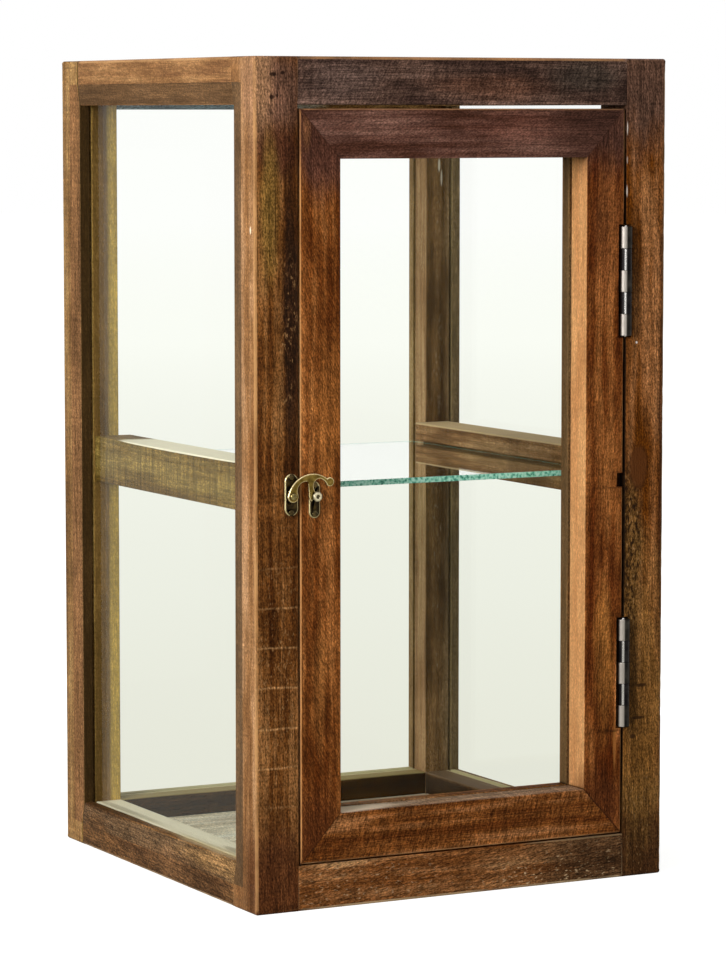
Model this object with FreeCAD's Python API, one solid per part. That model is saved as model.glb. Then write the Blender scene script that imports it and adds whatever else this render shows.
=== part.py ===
import FreeCAD, Part
import math
import os
from FreeCAD import Vector

os.makedirs("parts", exist_ok=True)

# Overall case in millimetres: the origin is the middle of its footprint and the front faces -Y
case_width = 320.0
case_depth = 320.0
case_height = 575.0

# Frame stock
post_width = 32.0
front_post_depth = 35.0
rear_post_depth = 30.0
top_rail_height = 32.0
rear_top_rail_height = 35.0
bottom_rail_height = 31.0
edge_round = 2.0

# Sloping band planed round the outside of each fixed window, mitred at its corners
bevel_width = 15.0
bevel_drop = 2.0

# Stub tenons of the rails and battens
tenon_length = 8.0
tenon_thickness = 7.0
tenon_setback = 15.0
tenon_shoulder = 6.0
mortise_end_room = 0.5
joint_clearance = 0.1

# Fixed panes in ploughed grooves, and the top pane in its rebate
pane_thickness = 3.0
pane_setback = 9.0
pane_edge_play = 0.5
groove_depth = 6.0
groove_clearance = 0.25
top_pane_thickness = 4.0
top_pane_sink = 0.5
top_ledge_width = 8.0
top_pane_play = 0.5

# Floor panel in the grooves of the bottom rails
base_thickness = 6.0
base_clear_height = 8.0
base_groove_depth = 6.0
base_play = 0.3

# Shelf battens inside the side panes, and the glass shelf in their grooves
batten_width = 28.5
batten_height = 33.0
batten_underside = 269.0
batten_pane_gap = 0.8
shelf_thickness = 4.0
shelf_groove_height = 6.0
shelf_groove_depth = 7.0
shelf_side_play = 0.8
shelf_rear_gap = 0.8
shelf_door_gap = 8.0

# Inset door with mitred corners
door_stile_width = 30.5
door_top_rail_width = 33.5
door_bottom_rail_width = 33.0
door_latch_gap = 1.7
door_hinge_gap = 1.5
door_top_gap = 2.5
door_bottom_gap = 1.2
door_stop_gap = 1.0
door_pane_setback = 21.0
door_edge_round = 1.0
door_lead_bevel = 2.0

# Square notch left in the edge of the hinge stile by an earlier use of the wood
notch_width = 5.0
notch_height = 10.0
notch_depth = 12.0
notch_centre_height = 282.0

# Five-knuckle butt hinges
hinge_length = 76.0
hinge_knuckles = 5
upper_hinge_height = 421.0
lower_hinge_height = 146.0
barrel_radius = 4.7
barrel_proud = 0.4
barrel_clearance = 0.6
knuckle_gap = 0.3
hinge_pin_radius = 1.6
hinge_pin_stand = 0.8
hinge_pin_chamfer = 0.5
pin_clearance = 0.05
leaf_width = 20.0
leaf_thickness = 1.5
leaf_gap = 0.6
leaf_recess_play = 0.1
leaf_screw_spacing = 27.0
leaf_screw_line = 12.0
leaf_screw_stagger = 2.5
leaf_screw_radius = 1.5
leaf_screw_head_radius = 2.9
leaf_screw_length = 14.0
screw_point = 4.0
screw_sides = 8

# Swing-hook latch on the left post and its catch on the door
latch_height = 282.3
latch_plate_width = 10.2
latch_plate_height = 28.5
latch_plate_raise = 1.0
latch_edge_gap = 0.2
latch_plate_thickness = 1.2
latch_boss_radius = 3.2
latch_boss_height = 1.0
latch_running_gap = 0.1
catch_distance = 17.3
catch_plate_width = 8.5
catch_plate_height = 25.0
catch_plate_drop = 2.4
stud_drop = 0.5
stud_shank_radius = 1.3
stud_head_radius = 3.7
stud_head_height = 2.2
stud_head_facets = 8
stud_head_room = 0.3
stud_root_length = 9.0
arm_thickness = 1.6
arm_eye_radius = 4.0
arm_crest_height = 15.0
arm_tail_length = 12.0
arm_thumb_radius = 3.1
arm_thumb_height = 8.9
hook_clearance = 0.4
rivet_radius = 1.5
rivet_head_radius = 2.6
rivet_head_height = 1.5
rivet_root_length = 6.0
plate_screw_spacing = 11.8
catch_screw_spacing = 9.6
plate_screw_radius = 1.1
plate_screw_head_radius = 1.9
plate_screw_head_height = 0.6
plate_screw_length = 10.0

# Planes that follow from the sizes above
left_face = -case_width / 2
right_face = case_width / 2
front_face = -case_depth / 2
rear_face = case_depth / 2
inner_x = right_face - post_width
inner_front = front_face + front_post_depth
inner_rear = rear_face - rear_post_depth
sill = bottom_rail_height
head = case_height - top_rail_height
rear_head = case_height - rear_top_rail_height
pane_tongue = groove_depth - pane_edge_play
up = Vector(0, 0, 1)
outward = Vector(0, -1, 0)
inward = Vector(0, 1, 0)

CASE_PLANES = (
    (0, left_face),
    (0, right_face),
    (1, front_face),
    (1, rear_face),
    (2, 0.0),
    (2, case_height),
)


def box(x, y, z):
    """A block from its (low, high) pairs along X, Y and Z."""
    size = [high - low for low, high in (x, y, z)]
    return Part.makeBox(*size, Vector(x[0], y[0], z[0]))


def cylinder(radius, centre, direction, length):
    return Part.makeCylinder(radius, length, centre, direction)


def span_of(shape):
    """The (low, high) pairs of a shape's bounding box."""
    bounds = shape.BoundBox
    return (
        (bounds.XMin, bounds.XMax),
        (bounds.YMin, bounds.YMax),
        (bounds.ZMin, bounds.ZMax),
    )


def round_outer_edges(shape):
    """Round every edge that lies on two outer faces of the case."""
    edges = []
    for edge in shape.Edges:
        spans = span_of(edge)
        on_planes = [
            plane
            for axis, plane in CASE_PLANES
            if abs(spans[axis][0] - plane) < 1e-6 and abs(spans[axis][1] - plane) < 1e-6
        ]
        if len(on_planes) > 1:
            edges.append(edge)
    return shape.makeFillet(edge_round, edges)


def carve(shape, cutters):
    """Cut each tool that reaches the shape."""
    for cutter in cutters:
        if shape.BoundBox.intersect(cutter.BoundBox):
            shape = shape.cut(cutter)
    return shape


def grow(span, amount):
    return (span[0] - amount, span[1] + amount)


def closed(points):
    return Part.makePolygon(points + points[:1])


def faceted(rings):
    """A solid with flat faces between successive rings of corners."""
    faces = [Part.Face(closed(rings[0])), Part.Face(closed(rings[-1]))]
    for lower, upper in zip(rings, rings[1:]):
        for index in range(len(lower)):
            following = (index + 1) % len(lower)
            side = [lower[index], lower[following], upper[following], upper[index]]
            faces.append(Part.Face(closed(side)))
    solid = Part.Solid(Part.makeShell(faces))
    if solid.Volume < 0:
        solid.reverse()
    return solid


def ring(centre, direction, radius, sides):
    """The corners of a flat-sided circle square to a horizontal axis."""
    across = up.cross(direction)
    angles = [2 * math.pi * (place + 0.5) / sides for place in range(sides)]
    return [centre + across * (radius * math.cos(turn)) + up * (radius * math.sin(turn)) for turn in angles]


def spindle(root, direction, profile, sides):
    """A flat-sided turned piece from (distance, radius) steps along its axis."""
    return faceted([ring(root + direction * step, direction, radius, sides) for step, radius in profile])


def export(name, shape):
    shape.exportStep(os.path.join("parts", name + ".step"))


# Fixed windows: each has a tapered bevel tool, a groove tool and a pane
side_window_y = (inner_front, inner_rear)
side_window_z = (sill, head)
rear_window_x = (-inner_x, inner_x)
rear_window_z = (sill, rear_head)


def bevel_tool(face, sense, opening, place):
    """A frustum from a wide rectangle outside the face down to the opening, bevel_drop inside it."""
    rings = []
    for depth, spread in ((-bevel_drop, 2 * bevel_width), (bevel_drop, 0.0)):
        across = grow(opening[0], spread)
        rise = grow(opening[1], spread)
        corners = [
            (across[0], rise[0]),
            (across[1], rise[0]),
            (across[1], rise[1]),
            (across[0], rise[1]),
        ]
        rings.append([place(face + sense * depth, a, r) for a, r in corners])
    return faceted(rings)


def side_point(plane, across, up):
    return Vector(plane, across, up)


def rear_point(plane, across, up):
    return Vector(across, plane, up)


def pane_span(face, sense):
    """Where a pane lies through the frame's thickness."""
    planes = sorted((face + sense * pane_setback, face + sense * (pane_setback + pane_thickness)))
    return tuple(planes)


def pane_heights(opening):
    """A pane stands on the floor of its lower groove."""
    return (opening[0] - groove_depth, opening[1] + pane_tongue)


bevel_tools = []
groove_tools = []
panes = {}
for name, face, sense in (("left_pane", left_face, 1), ("right_pane", right_face, -1)):
    through = pane_span(face, sense)
    bevel_tools.append(bevel_tool(face, sense, (side_window_y, side_window_z), side_point))
    groove_tools.append(
        box(
            grow(through, groove_clearance),
            grow(side_window_y, groove_depth),
            grow(side_window_z, groove_depth),
        )
    )
    panes[name] = box(through, grow(side_window_y, pane_tongue), pane_heights(side_window_z))

rear_through = pane_span(rear_face, -1)
bevel_tools.append(bevel_tool(rear_face, -1, (rear_window_x, rear_window_z), rear_point))
groove_tools.append(
    box(
        grow(rear_window_x, groove_depth),
        grow(rear_through, groove_clearance),
        grow(rear_window_z, groove_depth),
    )
)
panes["rear_pane"] = box(
    grow(rear_window_x, pane_tongue), rear_through, pane_heights(rear_window_z)
)

# The top pane lies in a rebate sunk into the four top rails and the posts
ledge_x = grow((-inner_x, inner_x), top_ledge_width)
ledge_y = grow((inner_front, inner_rear), top_ledge_width)
ledge_height = case_height - top_pane_sink - top_pane_thickness
top_rebate_tool = box(ledge_x, ledge_y, (ledge_height, case_height + edge_round))
panes["top_pane"] = box(
    grow(ledge_x, -top_pane_play),
    grow(ledge_y, -top_pane_play),
    (ledge_height, ledge_height + top_pane_thickness),
)

# The base panel sits in grooves of the bottom rails
base_z = (base_clear_height, base_clear_height + base_thickness)
base_groove_tool = box(
    grow((-inner_x, inner_x), base_groove_depth),
    grow((inner_front, inner_rear), base_groove_depth),
    (base_z[0], base_z[1] + base_play),
)

# Bars with stub tenons: the rails of the four sides and the two shelf battens
mortise_tools = []


def tenoned(bar, axis, ends, cheek, tenon_z):
    """Add a stub tenon at both ends of a bar and keep the mortises that take them."""
    thickness = (cheek, cheek + tenon_thickness)
    for reach in ((ends[0] - tenon_length, ends[0]), (ends[1], ends[1] + tenon_length)):
        room = grow(reach, mortise_end_room)
        mortise_thickness = grow(thickness, joint_clearance)
        mortise_z = grow(tenon_z, joint_clearance)
        if axis == 0:
            tenon = box(reach, thickness, tenon_z)
            mortise = box(room, mortise_thickness, mortise_z)
        else:
            tenon = box(thickness, reach, tenon_z)
            mortise = box(mortise_thickness, room, mortise_z)
        bar = bar.fuse(tenon)
        mortise_tools.append(mortise)
    return bar.removeSplitter()


front_span = (front_face, inner_front)
rear_span = (inner_rear, rear_face)
left_span = (left_face, -inner_x)
right_span = (inner_x, right_face)
front_cheek = front_face + (front_post_depth - tenon_thickness) / 2
rear_cheek = rear_face - tenon_setback - tenon_thickness
left_cheek = left_face + tenon_setback
right_cheek = right_face - tenon_setback - tenon_thickness
bottom_z = (0.0, sill)
bottom_tenon_z = (tenon_shoulder, sill - groove_depth - 2 * joint_clearance)


def top_z(height):
    return (case_height - height, case_height)


def top_tenon_z(height):
    low = case_height - height + groove_depth + 2 * joint_clearance
    return (low, case_height - tenon_shoulder)


cross = (-inner_x, inner_x)
along = (inner_front, inner_rear)
rail_plan = {
    "front_bottom_rail": (cross, front_span, bottom_z, 0, front_cheek, bottom_tenon_z),
    "rear_bottom_rail": (cross, rear_span, bottom_z, 0, rear_cheek, bottom_tenon_z),
    "left_bottom_rail": (left_span, along, bottom_z, 1, left_cheek, bottom_tenon_z),
    "right_bottom_rail": (right_span, along, bottom_z, 1, right_cheek, bottom_tenon_z),
}
for name, height in (("front", top_rail_height), ("rear", rear_top_rail_height)):
    depth_span = front_span if name == "front" else rear_span
    cheek = front_cheek if name == "front" else rear_cheek
    rail_plan[name + "_top_rail"] = (
        cross,
        depth_span,
        top_z(height),
        0,
        cheek,
        top_tenon_z(height),
    )
for name, width_span, cheek in (
    ("left", left_span, left_cheek),
    ("right", right_span, right_cheek),
):
    rail_plan[name + "_top_rail"] = (
        width_span,
        along,
        top_z(top_rail_height),
        1,
        cheek,
        top_tenon_z(top_rail_height),
    )

window_tools = bevel_tools + groove_tools
for name, (x, y, z, axis, cheek, tenon_z) in rail_plan.items():
    rail = round_outer_edges(box(x, y, z))
    rail = carve(rail, window_tools + [top_rebate_tool, base_groove_tool])
    export(name, tenoned(rail, axis, (x, y)[axis], cheek, tenon_z))

# Shelf battens: their inner edges stand proud of the posts, and the front ends stop the door
batten_z = (batten_underside, batten_underside + batten_height)
batten_outer = pane_setback + pane_thickness + batten_pane_gap
shelf_seat = batten_underside + (batten_height - shelf_groove_height) / 2
batten_inner_x = right_face - batten_outer - batten_width
shelf_groove_tool = box(
    grow((-batten_inner_x, batten_inner_x), shelf_groove_depth),
    grow(along, tenon_length),
    (shelf_seat, shelf_seat + shelf_groove_height),
)
batten_tenon_z = grow(batten_z, -tenon_shoulder)
for name, x, cheek in (
    ("left_batten", (left_face + batten_outer, -batten_inner_x), left_cheek),
    ("right_batten", (batten_inner_x, right_face - batten_outer), right_cheek),
):
    batten = carve(box(x, along, batten_z), [shelf_groove_tool])
    export(name, tenoned(batten, 1, along, cheek, batten_tenon_z))

for name, pane in panes.items():
    export(name, pane)

# Door: four mitred members round one pane
door_left = -inner_x + door_latch_gap
door_right = inner_x - door_hinge_gap
door_low = sill + door_bottom_gap
door_high = head - door_top_gap
door_back = inner_front - door_stop_gap
door_y = (front_face, door_back)
door_light_x = (door_left + door_stile_width, door_right - door_stile_width)
door_light_z = (door_low + door_bottom_rail_width, door_high - door_top_rail_width)
door_pane_y = (
    front_face + door_pane_setback,
    front_face + door_pane_setback + pane_thickness,
)
door_groove_tool = box(
    grow(door_light_x, groove_depth),
    grow(door_pane_y, groove_clearance),
    grow(door_light_z, groove_depth),
)
export(
    "door_pane",
    box(
        grow(door_light_x, pane_tongue),
        door_pane_y,
        (door_light_z[0] - groove_depth, door_light_z[1] + pane_tongue),
    ),
)

outer_corners = {
    "low_left": (door_left, door_low),
    "low_right": (door_right, door_low),
    "high_right": (door_right, door_high),
    "high_left": (door_left, door_high),
}
light_corners = {
    "low_left": (door_light_x[0], door_light_z[0]),
    "low_right": (door_light_x[1], door_light_z[0]),
    "high_right": (door_light_x[1], door_light_z[1]),
    "high_left": (door_light_x[0], door_light_z[1]),
}


# The closing edge is planed back so that its inner corner swings clear of the post
lead_bevel_tool = Part.Face(
    closed(
        [
            Vector(door_left, door_y[0], door_low),
            Vector(door_left + door_lead_bevel, door_y[1], door_low),
            Vector(door_left - door_latch_gap, door_y[1], door_low),
        ]
    )
).extrude(Vector(0, 0, door_high - door_low))


def mitred_member(first, second):
    """One door member: its outer edge, its inner edge and a mitre at each end."""
    outline = [outer_corners[first], outer_corners[second], light_corners[second], light_corners[first]]
    face = Part.Face(closed([Vector(x, door_y[0], z) for x, z in outline]))
    member = face.extrude(Vector(0, door_y[1] - door_y[0], 0))
    start, end = outline[0], outline[1]
    middle = Vector((start[0] + end[0]) / 2, door_y[0], (start[1] + end[1]) / 2)
    front_edge = [edge for edge in member.Edges if edge.CenterOfMass.distanceToPoint(middle) < 1e-6]
    member = member.makeFillet(door_edge_round, front_edge)
    return carve(member, [door_groove_tool, lead_bevel_tool])


# Butt hinges: the axis stands in the gap beside the right post, a little in front of the face
axis_x = inner_x - door_hinge_gap / 2
axis_y = front_face - barrel_proud
pitch = hinge_length / hinge_knuckles


def knuckle_span(low, index):
    return (low + index * pitch + knuckle_gap / 2, low + (index + 1) * pitch - knuckle_gap / 2)


def barrel(radius, span):
    return cylinder(radius, Vector(axis_x, axis_y, span[0]), up, span[1] - span[0])


def leaf_span(side):
    """The leaf's two faces, with side +1 for the post and -1 for the door."""
    faces = (axis_x + side * leaf_gap / 2, axis_x + side * (leaf_gap / 2 + leaf_thickness))
    return tuple(sorted(faces))


def leaf_screw_points(side, low):
    """Three screws down a leaf, staggered about their line."""
    points = []
    for place in (-1, 0, 1):
        across = leaf_screw_line + (leaf_screw_stagger if place == 0 else -leaf_screw_stagger)
        height = low + hinge_length / 2 + place * leaf_screw_spacing
        points.append(Vector(axis_x + side * leaf_gap / 2, axis_y + across, height))
    return points


def leaf_screw(point, side, play):
    """A pointed countersunk screw whose head is flush with the leaf."""
    profile = [
        (0.0, leaf_screw_head_radius + play),
        (leaf_thickness, leaf_screw_radius + play),
        (leaf_screw_length - screw_point, leaf_screw_radius + play),
        (leaf_screw_length + play, plate_screw_radius / 2),
    ]
    return spindle(point, Vector(side, 0, 0), profile, screw_sides)


def hinge_leaf(side, low, own, other):
    """A plate with its own knuckles rolled on one edge and room for the other leaf's knuckles."""
    plate = box(leaf_span(side), (axis_y, axis_y + leaf_width), (low, low + hinge_length))
    for index in other:
        plate = plate.cut(barrel(barrel_radius + knuckle_gap, grow(knuckle_span(low, index), knuckle_gap)))
    for index in own:
        plate = plate.fuse(barrel(barrel_radius, knuckle_span(low, index)))
    plate = plate.cut(barrel(hinge_pin_radius + pin_clearance, (low, low + hinge_length)))
    for point in leaf_screw_points(side, low):
        plate = plate.cut(leaf_screw(point, side, joint_clearance / 2))
    return plate.removeSplitter()


def leaf_recess(side, low):
    """The housing in the wood for one leaf, open to the gap and the front."""
    outer = axis_x + side * (leaf_gap / 2 + leaf_thickness + leaf_recess_play)
    x = tuple(sorted((axis_x, outer)))
    return box(
        x,
        (front_face - barrel_proud, axis_y + leaf_width + leaf_recess_play),
        grow((low, low + hinge_length), leaf_recess_play),
    )


post_tools = []
stile_tools = []
post_screws = []
door_screws = []
for name, centre in (("upper", upper_hinge_height), ("lower", lower_hinge_height)):
    low = centre - hinge_length / 2
    post_knuckles = range(0, hinge_knuckles, 2)
    door_knuckles = range(1, hinge_knuckles, 2)
    export(name + "_hinge_post_leaf", hinge_leaf(1, low, post_knuckles, door_knuckles))
    export(name + "_hinge_door_leaf", hinge_leaf(-1, low, door_knuckles, post_knuckles))
    pin = barrel(hinge_pin_radius, grow((low, low + hinge_length), hinge_pin_stand))
    pin_rims = [edge for edge in pin.Edges if edge.Curve.TypeId == "Part::GeomCircle"]
    export(name + "_hinge_pin", pin.makeChamfer(hinge_pin_chamfer, pin_rims))
    barrel_room = barrel(
        barrel_radius + barrel_clearance,
        grow((low, low + hinge_length), hinge_pin_stand + barrel_clearance),
    )
    for side, tools, screws in ((1, post_tools, post_screws), (-1, stile_tools, door_screws)):
        tools.extend((barrel_room, leaf_recess(side, low)))
        for point in leaf_screw_points(side, low):
            tools.append(leaf_screw(point, side, joint_clearance))
            screws.append(leaf_screw(point, side, 0.0))

export("hinge_post_screws", Part.makeCompound(post_screws))
export("hinge_door_screws", Part.makeCompound(door_screws))

notch_tool = box(
    (door_right - notch_width, door_right + notch_width),
    (front_face - barrel_proud, front_face + notch_depth),
    (notch_centre_height - notch_height / 2, notch_centre_height + notch_height / 2),
)
stile_tools.append(notch_tool)

# Swing-hook latch: plate, riveted arm and screws on the left post
pivot_x = -inner_x - latch_edge_gap - latch_plate_width / 2
stud_x = pivot_x + catch_distance
stud_z = latch_height - stud_drop
plate_front = front_face - latch_plate_thickness
arm_back = plate_front - latch_boss_height - latch_running_gap
arm_front = arm_back - arm_thickness


def rounded_plate(centre_x, centre_z, width, height):
    """A flat plate with half-round ends, standing on the front face."""
    straight = height / 2 - width / 2
    half = width / 2

    def at(across, rise):
        return Vector(centre_x + across, front_face, centre_z + rise)

    outline = [
        Part.LineSegment(at(half, -straight), at(half, straight)),
        Part.Arc(at(half, straight), at(0, height / 2), at(-half, straight)),
        Part.LineSegment(at(-half, straight), at(-half, -straight)),
        Part.Arc(at(-half, -straight), at(0, -height / 2), at(half, -straight)),
    ]
    wire = Part.Wire([curve.toShape() for curve in outline])
    return Part.Face(wire).extrude(outward * latch_plate_thickness)


def plate_screw(centre_x, centre_z, play):
    """A pointed round-head screw on a plate, its shank driven into the wood."""
    profile = [
        (-plate_screw_head_height, plate_screw_head_radius / 2),
        (-plate_screw_head_height / 2, 0.9 * plate_screw_head_radius),
        (0.0, plate_screw_head_radius),
        (0.0, plate_screw_radius + play),
        (plate_screw_length - screw_point, plate_screw_radius + play),
        (plate_screw_length + play, plate_screw_radius / 2),
    ]
    return spindle(Vector(centre_x, plate_front, centre_z), inward, profile, screw_sides)


plate_z = latch_height + latch_plate_raise
latch_screw_points = [(pivot_x, plate_z + place * plate_screw_spacing) for place in (-1, 1)]
plate = rounded_plate(pivot_x, plate_z, latch_plate_width, latch_plate_height)
pivot = Vector(pivot_x, front_face, latch_height)
plate_boss = cylinder(latch_boss_radius, pivot + outward * latch_plate_thickness, outward, latch_boss_height)
rivet_hole = cylinder(
    rivet_radius + pin_clearance, pivot + inward * rivet_root_length, outward, 2 * rivet_root_length
)
latch_screw_tools = [plate_screw(x, z, joint_clearance) for x, z in latch_screw_points]
export("latch_plate", carve(plate.fuse(plate_boss), [rivet_hole] + latch_screw_tools).removeSplitter())
export("latch_screws", Part.makeCompound([plate_screw(x, z, 0.0) for x, z in latch_screw_points]))

rivet_root = pivot + inward * rivet_root_length
rivet_neck = rivet_root_length + (front_face - arm_front) + latch_running_gap
rivet_top = rivet_root + outward * rivet_neck
rivet_shank = cylinder(rivet_radius, rivet_root, outward, rivet_neck)
rivet_profile = [
    (0.0, rivet_head_radius),
    (0.55 * rivet_head_height, 0.85 * rivet_head_radius),
    (rivet_head_height, 0.4 * rivet_head_radius),
]
rivet_dome = spindle(rivet_top, outward, rivet_profile, 2 * screw_sides)
export("latch_rivet", rivet_shank.fuse(rivet_dome).removeSplitter())

# The arm: an eye on the rivet, a rising arch, a hook that rests on the stud and a thumb disc
hook_ring = stud_shank_radius + hook_clearance
hook_x = catch_distance - hook_ring


def arm_at(across, rise):
    return Vector(pivot_x + across, arm_back, latch_height + rise)


eye_side = 0.8 * arm_eye_radius
eye_rise = 0.6 * arm_eye_radius
thumb_x = hook_x + arm_tail_length
thumb_low = (thumb_x - 0.75 * arm_thumb_radius, arm_thumb_height - math.sqrt(1 - 0.75**2) * arm_thumb_radius)
thumb_high = (thumb_x - 0.64 * arm_thumb_radius, arm_thumb_height + math.sqrt(1 - 0.64**2) * arm_thumb_radius)
crest = (hook_x - 1.8, arm_crest_height)
arch_foot = (hook_x - 5.2, arm_crest_height - 5.2)
tooth_top = (hook_x - 4.2, arm_crest_height - 6.4)
tooth_side = (hook_x - 3.9, 0.8)
tooth_tip = (hook_x - 2.0, -3.8)
hook_seat = (catch_distance, -stud_drop + hook_ring)
hook_nose = (catch_distance, hook_seat[1] + 0.8)
hook_top = (hook_x - 0.3, 6.8)
notch_crown = (hook_x + 4.4, arm_crest_height - 3.6)
arm_outline = [
    Part.Arc(arm_at(-arm_eye_radius, 0), arm_at(0, -arm_eye_radius), arm_at(eye_side, eye_rise)),
    Part.Arc(arm_at(eye_side, eye_rise), arm_at(4.6, 7.4), arm_at(*arch_foot)),
    Part.Arc(arm_at(*arch_foot), arm_at(hook_x - 4.5, arm_crest_height - 5.5), arm_at(*tooth_top)),
    Part.LineSegment(arm_at(*tooth_top), arm_at(*tooth_side)),
    Part.Arc(arm_at(*tooth_side), arm_at(hook_x - 3.3, -1.9), arm_at(*tooth_tip)),
    Part.Arc(arm_at(*tooth_tip), arm_at(hook_x - 0.5, -2.2), arm_at(hook_x, -stud_drop)),
    Part.Arc(
        arm_at(hook_x, -stud_drop),
        arm_at(catch_distance - hook_ring * math.sqrt(0.5), -stud_drop + hook_ring * math.sqrt(0.5)),
        arm_at(*hook_seat),
    ),
    Part.LineSegment(arm_at(*hook_seat), arm_at(*hook_nose)),
    Part.Arc(arm_at(*hook_nose), arm_at(hook_x + 0.5, hook_nose[1] + 1.6), arm_at(*hook_top)),
    Part.Arc(arm_at(*hook_top), arm_at(hook_x + 1.2, arm_crest_height - 4.8), arm_at(*notch_crown)),
    Part.Arc(
        arm_at(*notch_crown),
        arm_at((notch_crown[0] + thumb_low[0]) / 2 + 0.8, arm_thumb_height + 0.7),
        arm_at(*thumb_low),
    ),
    Part.Arc(arm_at(*thumb_low), arm_at(thumb_x + arm_thumb_radius, arm_thumb_height), arm_at(*thumb_high)),
    Part.Arc(arm_at(*thumb_high), arm_at(hook_x + 4.6, arm_crest_height - 0.9), arm_at(*crest)),
    Part.Arc(arm_at(*crest), arm_at(1.6, arm_crest_height - 5.1), arm_at(-arm_eye_radius, 0)),
]
arm_wire = Part.Wire([curve.toShape() for curve in arm_outline])
arm = Part.Face(arm_wire).extrude(outward * arm_thickness)
export("latch_arm", arm.cut(rivet_hole))

# The catch: plate, faceted stud and screws on the latch stile
catch_z = stud_z - catch_plate_drop
catch_screw_points = [(stud_x, catch_z + place * catch_screw_spacing) for place in (-1, 1)]
stud_base = Vector(stud_x, front_face, stud_z)
stud_hole = cylinder(
    stud_shank_radius + pin_clearance, stud_base + inward * stud_root_length, outward, 2 * stud_root_length
)
catch_screw_tools = [plate_screw(x, z, joint_clearance) for x, z in catch_screw_points]
catch = rounded_plate(stud_x, catch_z, catch_plate_width, catch_plate_height)
export("catch_plate", carve(catch, [stud_hole] + catch_screw_tools))
export("catch_screws", Part.makeCompound([plate_screw(x, z, 0.0) for x, z in catch_screw_points]))

stud_neck = front_face - arm_front + stud_head_room
stud_shank = cylinder(
    stud_shank_radius, stud_base + inward * stud_root_length, outward, stud_root_length + stud_neck
)
stud_profile = [
    (0.0, 0.8 * stud_head_radius),
    (0.6 * stud_head_height, stud_head_radius),
    (stud_head_height, 0.7 * stud_head_radius),
]
stud_head = spindle(stud_base + outward * stud_neck, outward, stud_profile, stud_head_facets)
export("catch_stud", stud_shank.fuse(stud_head).removeSplitter())

latch_tools = latch_screw_tools + [rivet_hole]
catch_tools = catch_screw_tools + [stud_hole]

# Door members with the housings of the hinges and the catch
export("door_latch_stile", carve(mitred_member("low_left", "high_left"), catch_tools))
export("door_hinge_stile", carve(mitred_member("low_right", "high_right"), stile_tools))
export("door_top_rail", mitred_member("high_left", "high_right"))
export("door_bottom_rail", mitred_member("low_left", "low_right"))

# Posts: full height, with the bevels, pane grooves, mortises and hardware housings
post_plan = {
    "front_left_post": (left_span, front_span, latch_tools),
    "front_right_post": (right_span, front_span, post_tools),
    "rear_left_post": (left_span, rear_span, []),
    "rear_right_post": (right_span, rear_span, []),
}
post_blocks = []
for name, (x, y, hardware_tools) in post_plan.items():
    block = box(x, y, (0.0, case_height))
    post_blocks.append(box(grow(x, base_play), grow(y, base_play), base_z))
    post = carve(round_outer_edges(block), window_tools + [top_rebate_tool])
    export(name, carve(post, mortise_tools + hardware_tools))

# Base panel, notched round the four posts
base_panel = box(
    grow((-inner_x, inner_x), base_groove_depth - base_play),
    grow((inner_front, inner_rear), base_groove_depth - base_play),
    base_z,
)
export("base_panel", carve(base_panel, post_blocks))

# Glass shelf, resting in the batten grooves just short of the rear pane and the door
shelf = box(
    grow((-batten_inner_x, batten_inner_x), shelf_groove_depth - shelf_side_play),
    (door_back + shelf_door_gap, rear_through[0] - shelf_rear_gap),
    (shelf_seat, shelf_seat + shelf_thickness),
)
export("glass_shelf", shelf)
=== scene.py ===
import math

import bmesh
import bpy
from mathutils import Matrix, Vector, noise


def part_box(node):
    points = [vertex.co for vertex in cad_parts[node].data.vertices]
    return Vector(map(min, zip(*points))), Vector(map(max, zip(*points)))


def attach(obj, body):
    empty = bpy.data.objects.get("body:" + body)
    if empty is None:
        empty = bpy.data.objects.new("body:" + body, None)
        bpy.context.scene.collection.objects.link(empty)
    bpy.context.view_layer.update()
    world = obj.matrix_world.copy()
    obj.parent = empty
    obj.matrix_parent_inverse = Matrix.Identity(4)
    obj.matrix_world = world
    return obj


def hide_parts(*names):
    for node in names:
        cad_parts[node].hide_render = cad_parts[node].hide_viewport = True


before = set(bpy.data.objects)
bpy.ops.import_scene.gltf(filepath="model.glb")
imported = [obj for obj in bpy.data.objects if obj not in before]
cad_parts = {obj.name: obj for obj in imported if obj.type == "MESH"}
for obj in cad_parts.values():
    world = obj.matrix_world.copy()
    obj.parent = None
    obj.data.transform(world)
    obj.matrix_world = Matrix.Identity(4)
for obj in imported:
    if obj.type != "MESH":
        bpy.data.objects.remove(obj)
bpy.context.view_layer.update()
scene = bpy.context.scene
scene.view_settings.view_transform = "Standard"


# The camera. A long lens about 2.8 m from the case, to the left of its front and a little
# above its middle, so that the front and the left side show and upright edges stay upright.
view_turn, view_dip = math.radians(27.74), math.radians(5.44)
lens_looks = Vector((
    math.sin(view_turn) * math.cos(view_dip),
    math.cos(view_turn) * math.cos(view_dip),
    -math.sin(view_dip),
))
lens = bpy.data.cameras.new("photo_lens")
lens.lens = 144.3
lens.clip_end = 200.0
camera = bpy.data.objects.new("photo_camera", lens)
camera.location = (-1.2818, -2.4473, 0.5371)
camera.rotation_euler = lens_looks.to_track_quat("-Z", "Y").to_euler()
scene.collection.objects.link(camera)
scene.camera = camera


# The studio. A pale floor that the lens sees as white, apart from the case's own soft shadow,
# and that shows glass and metal a faint grey-green, deepest near the case and white far off. The
# world is an even grey for light, and white where the lens, glass or metal looks at it.
def linear(code):
    """An sRGB hex colour as the linear values of a colour socket."""
    parts = [int(code[i:i + 2], 16) / 255 for i in (1, 3, 5)]
    return [c / 12.92 if c <= 0.04045 else ((c + 0.055) / 1.055) ** 2.4 for c in parts] + [1.0]


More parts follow.
